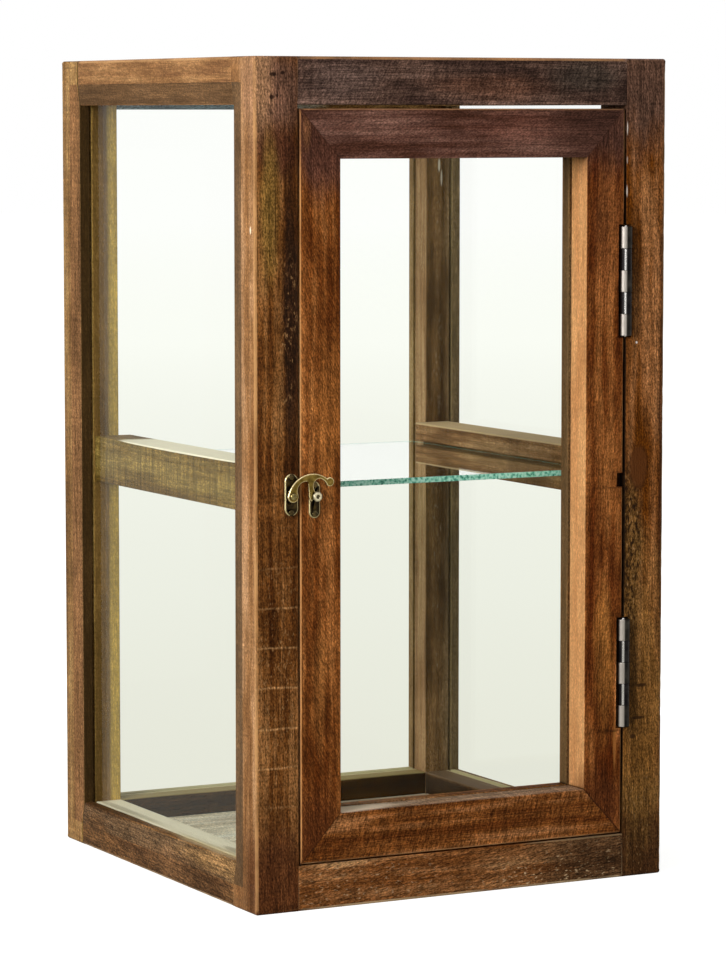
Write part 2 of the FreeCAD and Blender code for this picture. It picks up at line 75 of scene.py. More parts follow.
def add_node(tree, kind, inputs=None, ramp=None, **settings):
    """Adds a node, sets its properties and ramp, and links or sets its inputs."""
    node = tree.nodes.new(kind)
    for name, value in settings.items():
        setattr(node, name, value)
    for key, value in (inputs or {}).items():
        if isinstance(value, bpy.types.NodeSocket):
            tree.links.new(value, node.inputs[key])
        else:
            node.inputs[key].default_value = value
    if ramp:
        stops = node.color_ramp.elements
        while len(stops) < len(ramp):
            stops.new(1.0)
        for stop, (place, code) in zip(stops, ramp):
            stop.position = place
            stop.color = linear(code)
    return node


world = bpy.data.worlds.new("studio_air")
world.use_nodes = True
scene.world = world
air = world.node_tree
air.nodes.clear()
path = add_node(air, "ShaderNodeLightPath").outputs
seen = add_node(air, "ShaderNodeMath", {
    0: path["Is Camera Ray"], 1: path["Is Transmission Ray"],
}, operation="MAXIMUM").outputs[0]
seen = add_node(air, "ShaderNodeMath", {
    0: seen, 1: path["Is Glossy Ray"],
}, operation="MAXIMUM").outputs[0]
dull = add_node(air, "ShaderNodeBackground", {"Color": linear("#ffffff"), "Strength": 0.22}).outputs[0]
white = add_node(air, "ShaderNodeBackground", {"Color": linear("#ffffff"), "Strength": 1.0}).outputs[0]
sky = add_node(air, "ShaderNodeMixShader", {0: seen, 1: dull, 2: white}).outputs[0]
add_node(air, "ShaderNodeOutputWorld", {"Surface": sky})

sweep = bpy.data.materials.new("pale_floor_card")
sweep.use_nodes = True
card = sweep.node_tree
card.nodes.clear()
path = add_node(card, "ShaderNodeLightPath").outputs
spot = add_node(card, "ShaderNodeTexCoord").outputs["Object"]
away = add_node(card, "ShaderNodeVectorMath", {0: spot}, operation="LENGTH").outputs["Value"]
lift = add_node(card, "ShaderNodeMapRange", {
    "Value": away, "From Min": 0.20, "From Max": 0.65, "To Min": 0.76, "To Max": 1.0,
}, interpolation_type="SMOOTHSTEP").outputs[0]
lift = add_node(card, "ShaderNodeMath", {
    0: path["Is Camera Ray"], 1: lift,
}, operation="MULTIPLY").outputs[0]
depth = add_node(card, "ShaderNodeMapRange", {
    "Value": away, "From Min": 0.3, "From Max": 16.0,
}).outputs[0]
through = add_node(card, "ShaderNodeValToRGB", {"Fac": depth}, ramp=[
    (0.0, "#e8e8dd"), (0.08, "#eeefe6"), (0.38, "#fcfdf8"), (1.0, "#ffffff"),
]).outputs[0]
paper = add_node(card, "ShaderNodeBsdfDiffuse", {"Color": linear("#c4c4c0")})
lens_white = add_node(card, "ShaderNodeEmission", {"Color": linear("#ffffff"), "Strength": lift})
lit = add_node(card, "ShaderNodeAddShader", {0: paper.outputs[0], 1: lens_white.outputs[0]})
glass_grey = add_node(card, "ShaderNodeEmission", {"Color": through, "Strength": 1.0})
mirrored = add_node(card, "ShaderNodeMath", {
    0: path["Is Transmission Ray"], 1: path["Is Glossy Ray"],
}, operation="MAXIMUM").outputs[0]
shown = add_node(card, "ShaderNodeMixShader", {0: mirrored, 1: lit.outputs[0], 2: glass_grey.outputs[0]})
add_node(card, "ShaderNodeOutputMaterial", {"Surface": shown.outputs[0]})

floor_mesh = bpy.data.meshes.new("studio_floor")
flat = bmesh.new()
bmesh.ops.create_circle(flat, cap_ends=True, segments=96, radius=18.0)
flat.to_mesh(floor_mesh)
flat.free()
floor_mesh.materials.append(sweep)
studio_floor = bpy.data.objects.new("studio_floor", floor_mesh)
scene.collection.objects.link(studio_floor)

# A broad lamp on the left like a window, a weak fill in front, and two more from above.
case_middle = Vector((0, 0, 0.28))
for lamp_name, stand, watts, side in (
    ("window_side_lamp", (-2.2, -0.95, 1.10), 64.0, 1.1),
    ("front_fill_lamp", (-1.52, -2.90, 0.40), 5.0, 0.40),
    ("overhead_lamp", (-0.5, -0.9, 2.3), 7.0, 0.9),
    ("ceiling_lamp", (0.55, 0.12, 2.4), 14.0, 1.1),
):
    lamp = bpy.data.lights.new(lamp_name, "AREA")
    lamp.energy = watts
    lamp.size = side
    holder = bpy.data.objects.new(lamp_name, lamp)
    holder.location = stand
    holder.rotation_euler = (case_middle - Vector(stand)).to_track_quat("-Z", "Y").to_euler()
    scene.collection.objects.link(holder)


# Four corner posts of reclaimed hardwood, sawn square, planed by hand and waxed dark. Their
# window sides are bevelled to meet the rails, and old arrises are rubbed pale and nicked.
def waxed_timber(name, along, tones, shift, side=None, bevel=None, lean=14.0, hatch=0.5, saw=0.1,
                 chatter=None, flecks=(), stains=(), marks=(), cracks=(), joints=(), calm=(0.0, 0.3)):
    """Reclaimed hardwood under old dark wax. The eye gets long soft streaks, clouds of darker
    wax, short leaning fibres, dark pores, marks of the saw across the grain, pale flecks, and
    arrises that hands have rubbed to the bare wood. tones are dark, middle, light and rubbed,
    side the first three again on faces that look left, lighter or darker there as painted light
    and shade from the lamp on the left, bevel the window bevel's own colour. Stains lie under the
    fine texture and marks over it, so marks look smooth, like dust, a painted sheen on a ledge or
    the painted shade of a deep gap. chatter is the planer's ripple, joints are dark glue lines,
    and calm softens the texture, on the other faces and on those that look left."""
    finish = bpy.data.materials.new(name)
    finish.use_nodes = True
    tree = finish.node_tree
    tree.nodes.clear()
    place = add_node(tree, "ShaderNodeTexCoord").outputs["Object"]
    turn = {"X": (0, 0, 0), "Y": (0, 0, -math.pi / 2), "Z": (0, math.pi / 2, 0)}[along]
    grain = add_node(tree, "ShaderNodeMapping", {
        "Vector": place, "Rotation": turn, "Location": shift,
    }).outputs[0]
    leaning = add_node(tree, "ShaderNodeMapping", {
        "Vector": grain, "Rotation": (0, math.radians(lean), 0),
    }).outputs[0]
    field = {}
    for part, source, length, width, detail in (
        ("streak", grain, 190.0, 15.0, 3.0),
        ("cloud", grain, 60.0, 24.0, 4.0),
        ("fibre", grain, 30.0, 1.0, 3.0),
        ("hatch", leaning, 7.5, 0.95, 3.0),
        ("grit", grain, 1.7, 0.95, 2.0),
        ("pore", grain, 5.0, 0.9, 1.0),
        ("saw", grain, 2.6, 45.0, 3.0),
        ("fleck", grain, 4.2, 1.9, 2.0),
        ("rub", grain, 42.0, 42.0, 3.0),
    ):
        scaled = add_node(tree, "ShaderNodeVectorMath", {
            0: source, 1: (1000 / length, 1000 / width, 1000 / width),
        }, operation="MULTIPLY").outputs[0]
        field[part] = add_node(tree, "ShaderNodeTexNoise", {
            "Vector": scaled, "Scale": 1.0, "Detail": detail, "Roughness": 0.6,
        }).outputs[0]
    # Growth rings about 6 mm apart, drawn out tenfold along the length.
    drawn = add_node(tree, "ShaderNodeVectorMath", {
        0: grain, 1: (0.09, 1, 1),
    }, operation="MULTIPLY").outputs[0]
    ring = add_node(tree, "ShaderNodeTexWave", {
        "Vector": drawn, "Scale": 52.0, "Distortion": 7.0, "Detail": 2.0, "Detail Scale": 0.4,
    }, wave_type="RINGS", rings_direction="X").outputs["Fac"]
    tone = add_node(tree, "ShaderNodeMath", {
        0: ring, 1: 0.09, 2: field["streak"],
    }, operation="MULTIPLY_ADD").outputs[0]
    tone = add_node(tree, "ShaderNodeMath", {
        0: field["cloud"], 1: 0.55, 2: tone,
    }, operation="MULTIPLY_ADD").outputs[0]
    tone = add_node(tree, "ShaderNodeMath", {0: tone, 1: 0.32}, operation="SUBTRACT").outputs[0]
    colour = add_node(tree, "ShaderNodeValToRGB", {"Fac": tone}, ramp=[
        (0.35, tones[0]), (0.50, tones[1]), (0.66, tones[2]),
    ]).outputs[0]
    # Painted light and shade: faces that look left take the side tones, lighter or darker for how the lamp
    # on the left falls on them.
    if side:
        lit_side = add_node(tree, "ShaderNodeValToRGB", {"Fac": tone}, ramp=[
            (0.35, side[0]), (0.50, side[1]), (0.66, side[2]),
        ]).outputs[0]
        looks_left = add_node(tree, "ShaderNodeAttribute", attribute_name="side").outputs["Fac"]
        colour = add_node(tree, "ShaderNodeMix", {
            0: looks_left, 6: colour, 7: lit_side,
        }, data_type="RGBA").outputs[2]
    tilt = add_node(tree, "ShaderNodeMapRange", {
        "Value": tone, "From Min": 0.3, "From Max": 0.7, "To Min": 0.70, "To Max": 1.30,
    }).outputs[0]
    if bevel:
        tint = add_node(tree, "ShaderNodeVectorMath", {
            0: linear(bevel)[:3], "Scale": tilt,
        }, operation="SCALE").outputs[0]
        bevelled = add_node(tree, "ShaderNodeAttribute", attribute_name="bevel").outputs["Fac"]
        colour = add_node(tree, "ShaderNodeMix", {
            0: bevelled, 6: colour, 7: tint,
        }, data_type="RGBA").outputs[2]

    def near(centre, reach, strength, ragged=1.2, inner=-0.25, outer=0.5):
        """A ragged spot: strength at its centre (mm), nothing past its reach (mm)."""
        offset = add_node(tree, "ShaderNodeVectorMath", {
            0: place, 1: [c / 1000 for c in centre],
        }, operation="SUBTRACT").outputs[0]
        offset = add_node(tree, "ShaderNodeVectorMath", {
            0: offset, 1: [r / 1000 for r in reach],
        }, operation="DIVIDE").outputs[0]
        away = add_node(tree, "ShaderNodeVectorMath", {0: offset}, operation="LENGTH").outputs["Value"]
        away = add_node(tree, "ShaderNodeMath", {
            0: field["cloud"], 1: -ragged, 2: away,
        }, operation="MULTIPLY_ADD").outputs[0]
        return add_node(tree, "ShaderNodeMapRange", {
            "Value": away, "From Min": inner, "From Max": outer, "To Min": strength, "To Max": 0.0,
        }, interpolation_type="SMOOTHSTEP").outputs[0]

    for centre, reach, code, strength, *edge in stains:
        tint = add_node(tree, "ShaderNodeVectorMath", {
            0: linear(code)[:3], "Scale": tilt,
        }, operation="SCALE").outputs[0]
        cover = near(centre, reach, strength, *edge)
        colour = add_node(tree, "ShaderNodeMix", {
            0: cover, 6: colour, 7: tint,
        }, data_type="RGBA").outputs[2]
    shade = None
    for part, low, high, dark, light in (
        ("fibre", 0.36, 0.64, 0.56, 1.42),
        ("hatch", 0.36, 0.64, 1.0 - 0.75 * hatch, 1.0 + 0.75 * hatch),
        ("grit", 0.36, 0.64, 0.50, 1.48),
        ("pore", 0.26, 0.36, 0.52, 1.0),
        ("saw", 0.34, 0.66, 1.0 - 1.2 * saw, 1.0 + 0.9 * saw),
        ("cloud", 0.3, 0.7, 0.82, 1.16),
    ):
        step = add_node(tree, "ShaderNodeMapRange", {
            "Value": field[part], "From Min": low, "From Max": high, "To Min": dark, "To Max": light,
        }).outputs[0]
        if shade:
            step = add_node(tree, "ShaderNodeMath", {0: shade, 1: step}, operation="MULTIPLY").outputs[0]
        shade = step
    smooth = calm[0]
    if side:
        smooth = add_node(tree, "ShaderNodeMath", {
            0: looks_left, 1: calm[1] - calm[0], 2: calm[0],
        }, operation="MULTIPLY_ADD").outputs[0]
    shade = add_node(tree, "ShaderNodeMix", {0: smooth, 2: shade, 3: 1.0}).outputs[0]
    height = shade
    if chatter:
        # Marks of a planer knife, a pitch apart along the grain, faint and broken.
        pitch, centre, reach = chatter
        run = add_node(tree, "ShaderNodeSeparateXYZ", {0: grain}).outputs[0]
        run = add_node(tree, "ShaderNodeMath", {
            0: field["rub"], 1: 0.004, 2: run,
        }, operation="MULTIPLY_ADD").outputs[0]
        run = add_node(tree, "ShaderNodeMath", {
            0: run, 1: pitch / 2000,
        }, operation="PINGPONG").outputs[0]
        line = add_node(tree, "ShaderNodeMapRange", {
            "Value": run, "From Min": 0.0, "From Max": 0.0011, "To Min": 1.0, "To Max": 0.0,
        }).outputs[0]
        broken = add_node(tree, "ShaderNodeMapRange", {
            "Value": field["hatch"], "From Min": 0.36, "From Max": 0.60, "To Min": 0.45, "To Max": 1.0,
        }).outputs[0]
        line = add_node(tree, "ShaderNodeMath", {0: line, 1: broken}, operation="MULTIPLY").outputs[0]
        front = add_node(tree, "ShaderNodeMath", {
            0: 1.0, 1: looks_left,
        }, operation="SUBTRACT").outputs[0]
        line = add_node(tree, "ShaderNodeMath", {0: line, 1: front}, operation="MULTIPLY").outputs[0]
        line = add_node(tree, "ShaderNodeMath", {
            0: line, 1: near(centre, reach, 0.85),
        }, operation="MULTIPLY").outputs[0]
        colour = add_node(tree, "ShaderNodeMix", {
            0: line, 6: colour, 7: linear(tones[3]),
        }, data_type="RGBA").outputs[2]
        height = add_node(tree, "ShaderNodeMath", {
            0: line, 1: -1.2, 2: height,
        }, operation="MULTIPLY_ADD").outputs[0]
    colour = add_node(tree, "ShaderNodeVectorMath", {
        0: colour, "Scale": shade,
    }, operation="SCALE").outputs[0]
    for centre, reach, strength in flecks:
        fleck = add_node(tree, "ShaderNodeMapRange", {
            "Value": field["fleck"], "From Min": 0.60, "From Max": 0.72,
        }).outputs[0]
        fleck = add_node(tree, "ShaderNodeMath", {
            0: fleck, 1: near(centre, reach, strength),
        }, operation="MULTIPLY").outputs[0]
        colour = add_node(tree, "ShaderNodeMix", {
            0: fleck, 6: colour, 7: linear(tones[3]),
        }, data_type="RGBA").outputs[2]
    for centre, reach, strength in cracks:
        split = add_node(tree, "ShaderNodeMapRange", {
            "Value": field["fleck"], "From Min": 0.52, "From Max": 0.40,
        }).outputs[0]
        split = add_node(tree, "ShaderNodeMath", {
            0: split, 1: near(centre, reach, strength),
        }, operation="MULTIPLY").outputs[0]
        colour = add_node(tree, "ShaderNodeMix", {
            0: split, 6: colour, 7: linear("#1c1008"),
        }, data_type="RGBA").outputs[2]
    for centre, reach, code, strength, *edge in marks:
        cover = near(centre, reach, strength, *(edge or (0.9, 0.05, 0.55)))
        colour = add_node(tree, "ShaderNodeMix", {
            0: cover, 6: colour, 7: linear(code),
        }, data_type="RGBA").outputs[2]
    for corner, normal, strength in joints:
        off = add_node(tree, "ShaderNodeVectorMath", {
            0: place, 1: [c / 1000 for c in corner],
        }, operation="SUBTRACT").outputs[0]
        off = add_node(tree, "ShaderNodeVectorMath", {
            0: off, 1: normal,
        }, operation="DOT_PRODUCT").outputs["Value"]
        off = add_node(tree, "ShaderNodeMath", {0: off}, operation="ABSOLUTE").outputs[0]
        seam = add_node(tree, "ShaderNodeMapRange", {
            "Value": off, "From Min": 0.0002, "From Max": 0.0008, "To Min": strength, "To Max": 0.0,
        }).outputs[0]
        colour = add_node(tree, "ShaderNodeMix", {
            0: seam, 6: colour, 7: linear("#1c0e06"),
        }, data_type="RGBA").outputs[2]
    worn = add_node(tree, "ShaderNodeAttribute", attribute_name="wear").outputs["Fac"]
    rubbed = add_node(tree, "ShaderNodeMapRange", {
        "Value": field["rub"], "From Min": 0.35, "From Max": 0.62, "To Min": 0.18, "To Max": 0.80,
    }).outputs[0]
    worn = add_node(tree, "ShaderNodeMath", {0: worn, 1: rubbed}, operation="MULTIPLY").outputs[0]
    colour = add_node(tree, "ShaderNodeMix", {
        0: worn, 6: colour, 7: linear(tones[3]),
    }, data_type="RGBA").outputs[2]
    dullness = add_node(tree, "ShaderNodeMapRange", {
        "Value": field["cloud"], "From Min": 0.3, "From Max": 0.7, "To Min": 0.66, "To Max": 0.48,
    }).outputs[0]
    relief = add_node(tree, "ShaderNodeBump", {
        "Height": height, "Strength": 0.5, "Distance": 0.0005,
    }).outputs[0]
    wood = add_node(tree, "ShaderNodeBsdfPrincipled", {
        "Base Color": colour, "Roughness": dullness, "Normal": relief, "Specular IOR Level": 0.03,
    })
    add_node(tree, "ShaderNodeOutputMaterial", {"Surface": wood.outputs[0]})
    return finish


# Corners nearer than this, in metres, are one.
weld = 2e-6


def eased_copy(node, ease, long_edge, step=None, nick=0.0, hull=None, front=False, sharp=18):
    """The node's solid as one clean mesh: long arrises eased by ease mm (only those of its front
    if front is set), cut every step mm along its length, and nicked inwards by up to nick mm.
    Its attributes tell the finish which arrises wear (of a hull, those of two of its sides),
    which faces look left, and which are window bevels."""
    solid = bmesh.new()
    solid.from_mesh(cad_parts[node].data)
    bmesh.ops.remove_doubles(solid, verts=solid.verts, dist=weld)
    bmesh.ops.dissolve_limit(solid, angle_limit=math.radians(0.4), verts=solid.verts, edges=solid.edges)
    low, high = (Vector(corner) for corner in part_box(node))
    span = high - low
    main = max(range(3), key=lambda k: span[k])
    arris = []
    for edge in solid.edges:
        if len(edge.link_faces) != 2 or edge.calc_length() < long_edge / 1000:
            continue
        if not edge.is_convex or edge.calc_face_angle(0.0) < math.radians(45):
            continue
        a, b = (v.co for v in edge.verts)
        if hull and sorted(abs(c) for c in b - a)[1] > 1e-5:
            continue
        if front and all(face.normal.y > -0.9 for face in edge.link_faces):
            continue
        planes = [(k, corner) for k in range(3) for corner in (low, high)]
        if front or any(max(abs(a[k] - e[k]), abs(b[k] - e[k])) < 2e-5 for k, e in planes):
            arris.append(edge)
    made = bmesh.ops.bevel(
        solid, geom=arris, offset=ease / 1000, offset_type="OFFSET", segments=3, profile=0.5,
        affect="EDGES", clamp_overlap=False, loop_slide=True,
    )
    narrow = solid.faces.layers.int.new("narrow")
    for face in solid.faces:
        longest = max(edge.calc_length() for edge in face.edges)
        if face.calc_area() / longest < 0.0012 and longest > long_edge / 1000:
            face[narrow] = 1
    for face in made["faces"]:
        if face.is_valid:
            face[narrow] = 1
    # Faces that look left are flagged, so that the finish can give them their painted light and shade.
    side = solid.faces.layers.float.new("side")
    bevel = solid.faces.layers.float.new("bevel")
    for face in solid.faces:
        face[side] = 1.0 if face.normal.x < -0.6 else 0.0
        square = max(abs(c) for c in face.normal)
        face[bevel] = 1.0 if 0.97 < square < 0.998 and not face[narrow] else 0.0
    if step:
        cuts = max(2, round(span[main] * 1000 / step))
        aim = Vector((0, 0, 0))
        aim[main] = 1.0
        for k in range(1, cuts):
            bmesh.ops.bisect_plane(
                solid, geom=solid.verts[:] + solid.edges[:] + solid.faces[:], dist=1e-6,
                plane_co=low + aim * (span[main] * k / cuts), plane_no=aim,
            )
    wear = solid.verts.layers.float.new("wear")
    solid.normal_update()
    moved = []
    for vert in solid.verts:
        if all(face[narrow] for face in vert.link_faces):
            sides = 2
            if hull:
                sides = sum(min(abs(vert.co[k] - corner[k]) for corner in hull) < 0.0035 for k in range(3))
            vert[wear] = 1.0 if sides > 1 else 0.0
            where = vert.co * 1000
            soft = noise.noise(where / 26.0) * 0.5 + 0.5
            chip = noise.noise(where / 7.0 + Vector((31.0, 7.0, 3.0))) * 0.5 + 0.5
            depth = nick * (0.12 + 0.35 * soft * soft + max(0.0, chip - 0.62) * 1.9)
            moved.append((vert, vert.normal * (depth / 1000)))
    for vert, push in moved:
        vert.co -= push
    mesh = bpy.data.meshes.new(node + "_dressed")
    solid.to_mesh(mesh)
    solid.free()
    mesh.shade_smooth()
    mesh.set_sharp_from_angle(angle=math.radians(sharp))
    return mesh


def fit_piece(name, mesh, finishes, body, slot, *nodes):
    """Puts a finished mesh in the scene on its body, in place of its CAD nodes."""
    mesh.materials.clear()
    for finish in finishes:
        mesh.materials.append(finish)
    piece = bpy.data.objects.new(name, mesh)
    scene.collection.objects.link(piece)
    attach(piece, body)
    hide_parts(*nodes)
    return piece


# How a spot fades: how ragged it is, where it starts to fade and where it ends.
firm = (0.4, 0.5, 0.9)
cut_sharp = (0.1, 0.85, 0.97)
smeared = (1.6, -0.3, 0.4)
whole_length = 2000
# In each post, side holds lighter or darker tones for the faces that look left: painted light and shade
# from the lamp on the left.
posts = {
    "front_left_post": dict(
        tones=("#4a270b", "#6d421c", "#8a5d33", "#b98a58"), side=("#744d2c", "#8f653e", "#ac825b"),
        bevel="#6a4f34", shift=(0.3035, 0.06, 0.05), hatch=0.4, saw=0.12, calm=(0.0, 0.3),
        chatter=(27.0, (-147, -160, 150), (40, 60, 105)),
        flecks=(((-136, -160, 395), (9, 20, 62), 0.7), ((-146, -160, 150), (30, 20, 120), 0.45)),
        cracks=(((-134, -160, 400), (10, 20, 100), 0.7),),
        stains=(
            ((-148, -160, 552), (40, 20, 34), "#6c4c3c", 0.9),
            ((-162, -160, 558), (17, 20, 60), "#9a7250", 0.8),
            ((-144, -160, 512), (24, 20, 22), "#4c2a1c", 0.85),
            ((-149, -160, 470), (9, 20, 60), "#86652f", 0.75),
            ((-133, -160, 400), (8, 20, 130), "#3a2415", 0.9),
            ((-134, -160, 292), (8, 20, 26), "#43240e", 0.75),
            ((-146, -160, 20), (34, 30, 60), "#4f2b15", 0.9),
        ),
        marks=(
            ((-146, -160, 563), (3, 5, 1.6), "#20120c", 0.9),
            ((-139, -160, 564), (2, 5, 1.6), "#20120c", 0.9),
            ((-147, -160, 548), (2, 5, 1.8), "#20120c", 0.9),
            ((-143, -160, 549), (1.5, 5, 1.3), "#20120c", 0.8),
            ((-144.5, -160, 462), (0.7, 5, 34), "#2a1808", 0.6),
            ((-160, -154, 460), (5, 1.4, 3.2), "#f0d8b8", 0.95),
        ),
    ),
    "front_right_post": dict(
        tones=("#653509", "#834f25", "#a87043", "#c79a68"), side=("#4a2c14", "#5d3c1e", "#76522c"),
        bevel="#6e5438", shift=(1.73, 0.08, 0.04), hatch=0.45, saw=0.10,
        flecks=(((140, -160, 30), (18, 20, 60), 0.35), ((132, -160, 240), (14, 20, 90), 0.6)),
        stains=(
            ((146, -160, 560), (80, 30, 60), "#64483a", 0.95),
            ((145, -160, 470), (8, 20, 38), "#b57c4c", 0.6),
            ((133, -160, 235), (12, 20, 80), "#5a3f1c", 0.8),
            # Painted shade: the right arris, rounded away from the light, is darkened.
            ((160, -160, 280), (6, 20, 330), "#3c2010", 0.9),
            ((146, -160, 6), (60, 30, 76), "#452c18", 0.9),
            ((143, -160, 120), (24, 20, 130), "#85602e", 0.6),
            # Painted shadows of the two hinges, on the post just right of each.
            ((135, -160, 421), (6, 20, 62), "#4a3014", 0.6),
            ((135, -160, 146), (6, 20, 62), "#3c2912", 0.65),
        ),
        marks=(
            # Painted shade: the deep gap beside the door is drawn near black on the post's inner face.
            ((127.6, -158, 287), (1.1, 5, 259), "#120a05", 0.9, *cut_sharp),
            ((137, -160, 378), (1.0, 5, 1.0), "#fff0e4", 1.0),
            ((142.5, -160, 136), (6.0, 5, 1.8), "#2c1a0c", 0.85),
            ((140, -160, 113), (7.0, 5, 1.7), "#2c1a0c", 0.85),
            ((136, -160, 100), (3.6, 5, 2.2), "#2c1a0c", 0.8),
            ((139.5, -160, 291), (10.2, 5, 20), "#2a170a", 0.6, 0.7, 0.35, 0.6),
            ((139.0, -160, 291.5), (8.8, 5, 18.2), "#643818", 0.7, 0.7, 0.35, 0.6),
            ((128.6, -158, 527), (0.7, 5, 7), "#d8ccc0", 0.7),
            ((128.6, -158, 505), (0.6, 5, 4), "#d8ccc0", 0.5),
            ((128.6, -158, 483), (0.7, 5, 6), "#d8ccc0", 0.7),
        ),
        cracks=(((132, -160, 240), (14, 20, 90), 0.9), ((138, -160, 130), (12, 20, 60), 0.35)),
    ),
    "rear_left_post": dict(
        tones=("#543a20", "#70502e", "#886640", "#c8a878"), side=("#765430", "#8f6a40", "#a48050"),
        bevel="#7c5838", shift=(2.21, 0.05, 0.07), hatch=0.4, saw=0.15, calm=(0.6, 0.2),
        stains=(
            ((-140, 130, 288), (34, 1.6, whole_length), "#b89544", 1.0, *firm),
            ((-155, 130, 288), (7, 1.6, whole_length), "#2c1b10", 0.95, *firm),
            ((-143, 130, 288), (8, 1.6, whole_length), "#64452a", 0.85, *firm),
        ),
    ),
    "rear_right_post": dict(
        tones=("#452f18", "#5e4326", "#785938", "#c8b8a0"), side=("#7c5c3e", "#967250", "#ac8a66"),
        bevel="#6e5438", shift=(3.37, 0.07, 0.03), hatch=0.3, saw=0.1, calm=(0.45, 0.6),
        flecks=(((138, 130, 300), (6, 20, 260), 0.3),),
        stains=(((156, 130, 288), (14, 30, whole_length), "#8a7052", 0.85),),
        marks=(
            ((139, 130, 498), (1.2, 5, 6), "#d0c4b0", 0.8), ((141, 130, 488), (1.0, 5, 8), "#d0c4b0", 0.7),
        ),
    ),
}
case_hull = (Vector(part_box("front_left_post")[0]), Vector(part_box("rear_right_post")[1]))
for post, look in posts.items():
    wood = waxed_timber(post + "_waxed_hardwood", "Z", **look)
    solid = eased_copy(post, 0.5, 11.0, 4.0, 0.9, case_hull)
    fit_piece(post + "_wood", solid, [wood], "carcass", "frame_wood", post)


# Eight rails tenoned between the posts, of the same reclaimed wood. The front ones are flush
# with the door frame; the side and rear ones carry the window bevels, and pale ledges, partly
# dust and partly a painted sheen.
rails = {
    "front_top_rail": ("X", dict(
        tones=("#46322a", "#634a3e", "#816558", "#b98658"), shift=(4.11, 0.05, 0.06), hatch=0.5, saw=0.26,
        lean=60.0,
        stains=(
            ((20, -160, 556), (70, 20, 12), "#6a4431", 0.6),
            ((92, -160, 562), (40, 20, 16), "#4c4138", 0.75),
            ((-95, -160, 560), (40, 20, 16), "#66524a", 0.5),
        ),
    )),
    "rear_top_rail": ("X", dict(
        tones=("#573a1c", "#6f5333", "#8a6f50", "#c0a27a"), bevel="#6e5438", shift=(4.61, 0.04, 0.08),
        stains=(((-70, 130, 542), (110, 20, 7), "#64808a", 0.8),),
    )),
    "left_top_rail": ("Y", dict(
        tones=("#7c5636", "#8e6640", "#9f764c", "#bd9062"), bevel="#64492f", shift=(5.12, 0.06, 0.05),
        hatch=0.4, saw=0.12, calm=(0.45, 0.3),
    )),
    "right_top_rail": ("Y", dict(
        tones=("#5c3d20", "#76502c", "#8d663c", "#b98f62"), bevel="#64492f", shift=(5.63, 0.03, 0.07),
    )),
    "front_bottom_rail": ("X", dict(
        tones=("#784822", "#906038", "#ae8458", "#e6c496"), shift=(6.14, 0.05, 0.04), hatch=0.7, saw=0.15,
        flecks=(((85, -160, 6), (110, 20, 24), 0.75), ((-80, -160, 14), (90, 20, 30), 0.45)),
        stains=(((112, -160, 16), (76, 30, 50), "#543a24", 0.9),),
        marks=(((88, -160, 30.8), (60, 3, 0.9), "#a48a66", 0.5, 1.8, -0.5, 0.2),),
    )),
    "rear_bottom_rail": ("X", dict(
        tones=("#2c1804", "#362107", "#462c0d", "#b89a72"), bevel="#4a3218", shift=(6.65, 0.06, 0.07),
        # Pale ledge along the glass: partly dust, partly a painted sheen.
        marks=(
            ((0, 139, 31), (whole_length, 12, 1.5), "#a48e5e", 0.9, *firm),
            ((0, 154, 31), (whole_length, 11, 1.5), "#dcc9a0", 0.9, *firm),
        ),
    )),
    "left_bottom_rail": ("Y", dict(
        tones=("#553820", "#6d4b2c", "#835c34", "#c5a680"), bevel="#624a32", shift=(7.16, 0.04, 0.05),
        hatch=0.6, saw=0.1, flecks=(((-156, 20, 22), (10, 120, 8), 0.4),),
        stains=(
            ((-158, -105, 24), (14, 80, 9), "#8c6a42", 0.8),
            ((-160, 106, 12), (14, 30, 17), "#5c3f24", 0.9),
            ((-160, -40, 10), (14, 90, 14), "#785536", 0.6),
            ((-154, 95, 31), (9, 70, 3), "#4a3018", 0.8, *firm),
        ),
        # Pale ledge along the glass: partly dust, partly a painted sheen.
        marks=(
            ((-137, 0, 31), (14, whole_length, 1.5), "#fff0da", 0.86, *firm),
            ((-150, -70, 30.5), (7, 80, 2.4), "#c4ab84", 0.65, *smeared),
            ((-143, 80, 31), (5, 60, 1.5), "#7a6040", 0.4, *smeared),
            ((-140, -95, 31), (4, 26, 1.5), "#8a7452", 0.6, *smeared),
        ),
    )),
    "right_bottom_rail": ("Y", dict(
        tones=("#523619", "#6b4a2c", "#85623e", "#b99468"), bevel="#5b4228", shift=(7.67, 0.05, 0.06),
        stains=(
            # Painted shade: the inner face below the ledge is darkened, as it lies in shade.
            ((126, 0, 16), (9, whole_length, 16), "#2e2116", 0.95, *firm),
        ),
        # Pale ledge along the glass: partly dust, partly a painted sheen.
        marks=(
            ((137, 0, 31), (16, whole_length, 1.5), "#6e5844", 0.8, *firm),
            ((150, 0, 31), (5, whole_length, 1.5), "#c8b48e", 0.9, *firm),
        ),
    )),
}
for rail, (along, look) in rails.items():
    wood = waxed_timber(rail + "_waxed_hardwood", along, **look)
    solid = eased_copy(rail, 0.5, 11.0, 4.0, 0.9, case_hull)
    fit_piece(rail + "_wood", solid, [wood], "carcass", "frame_wood", rail)


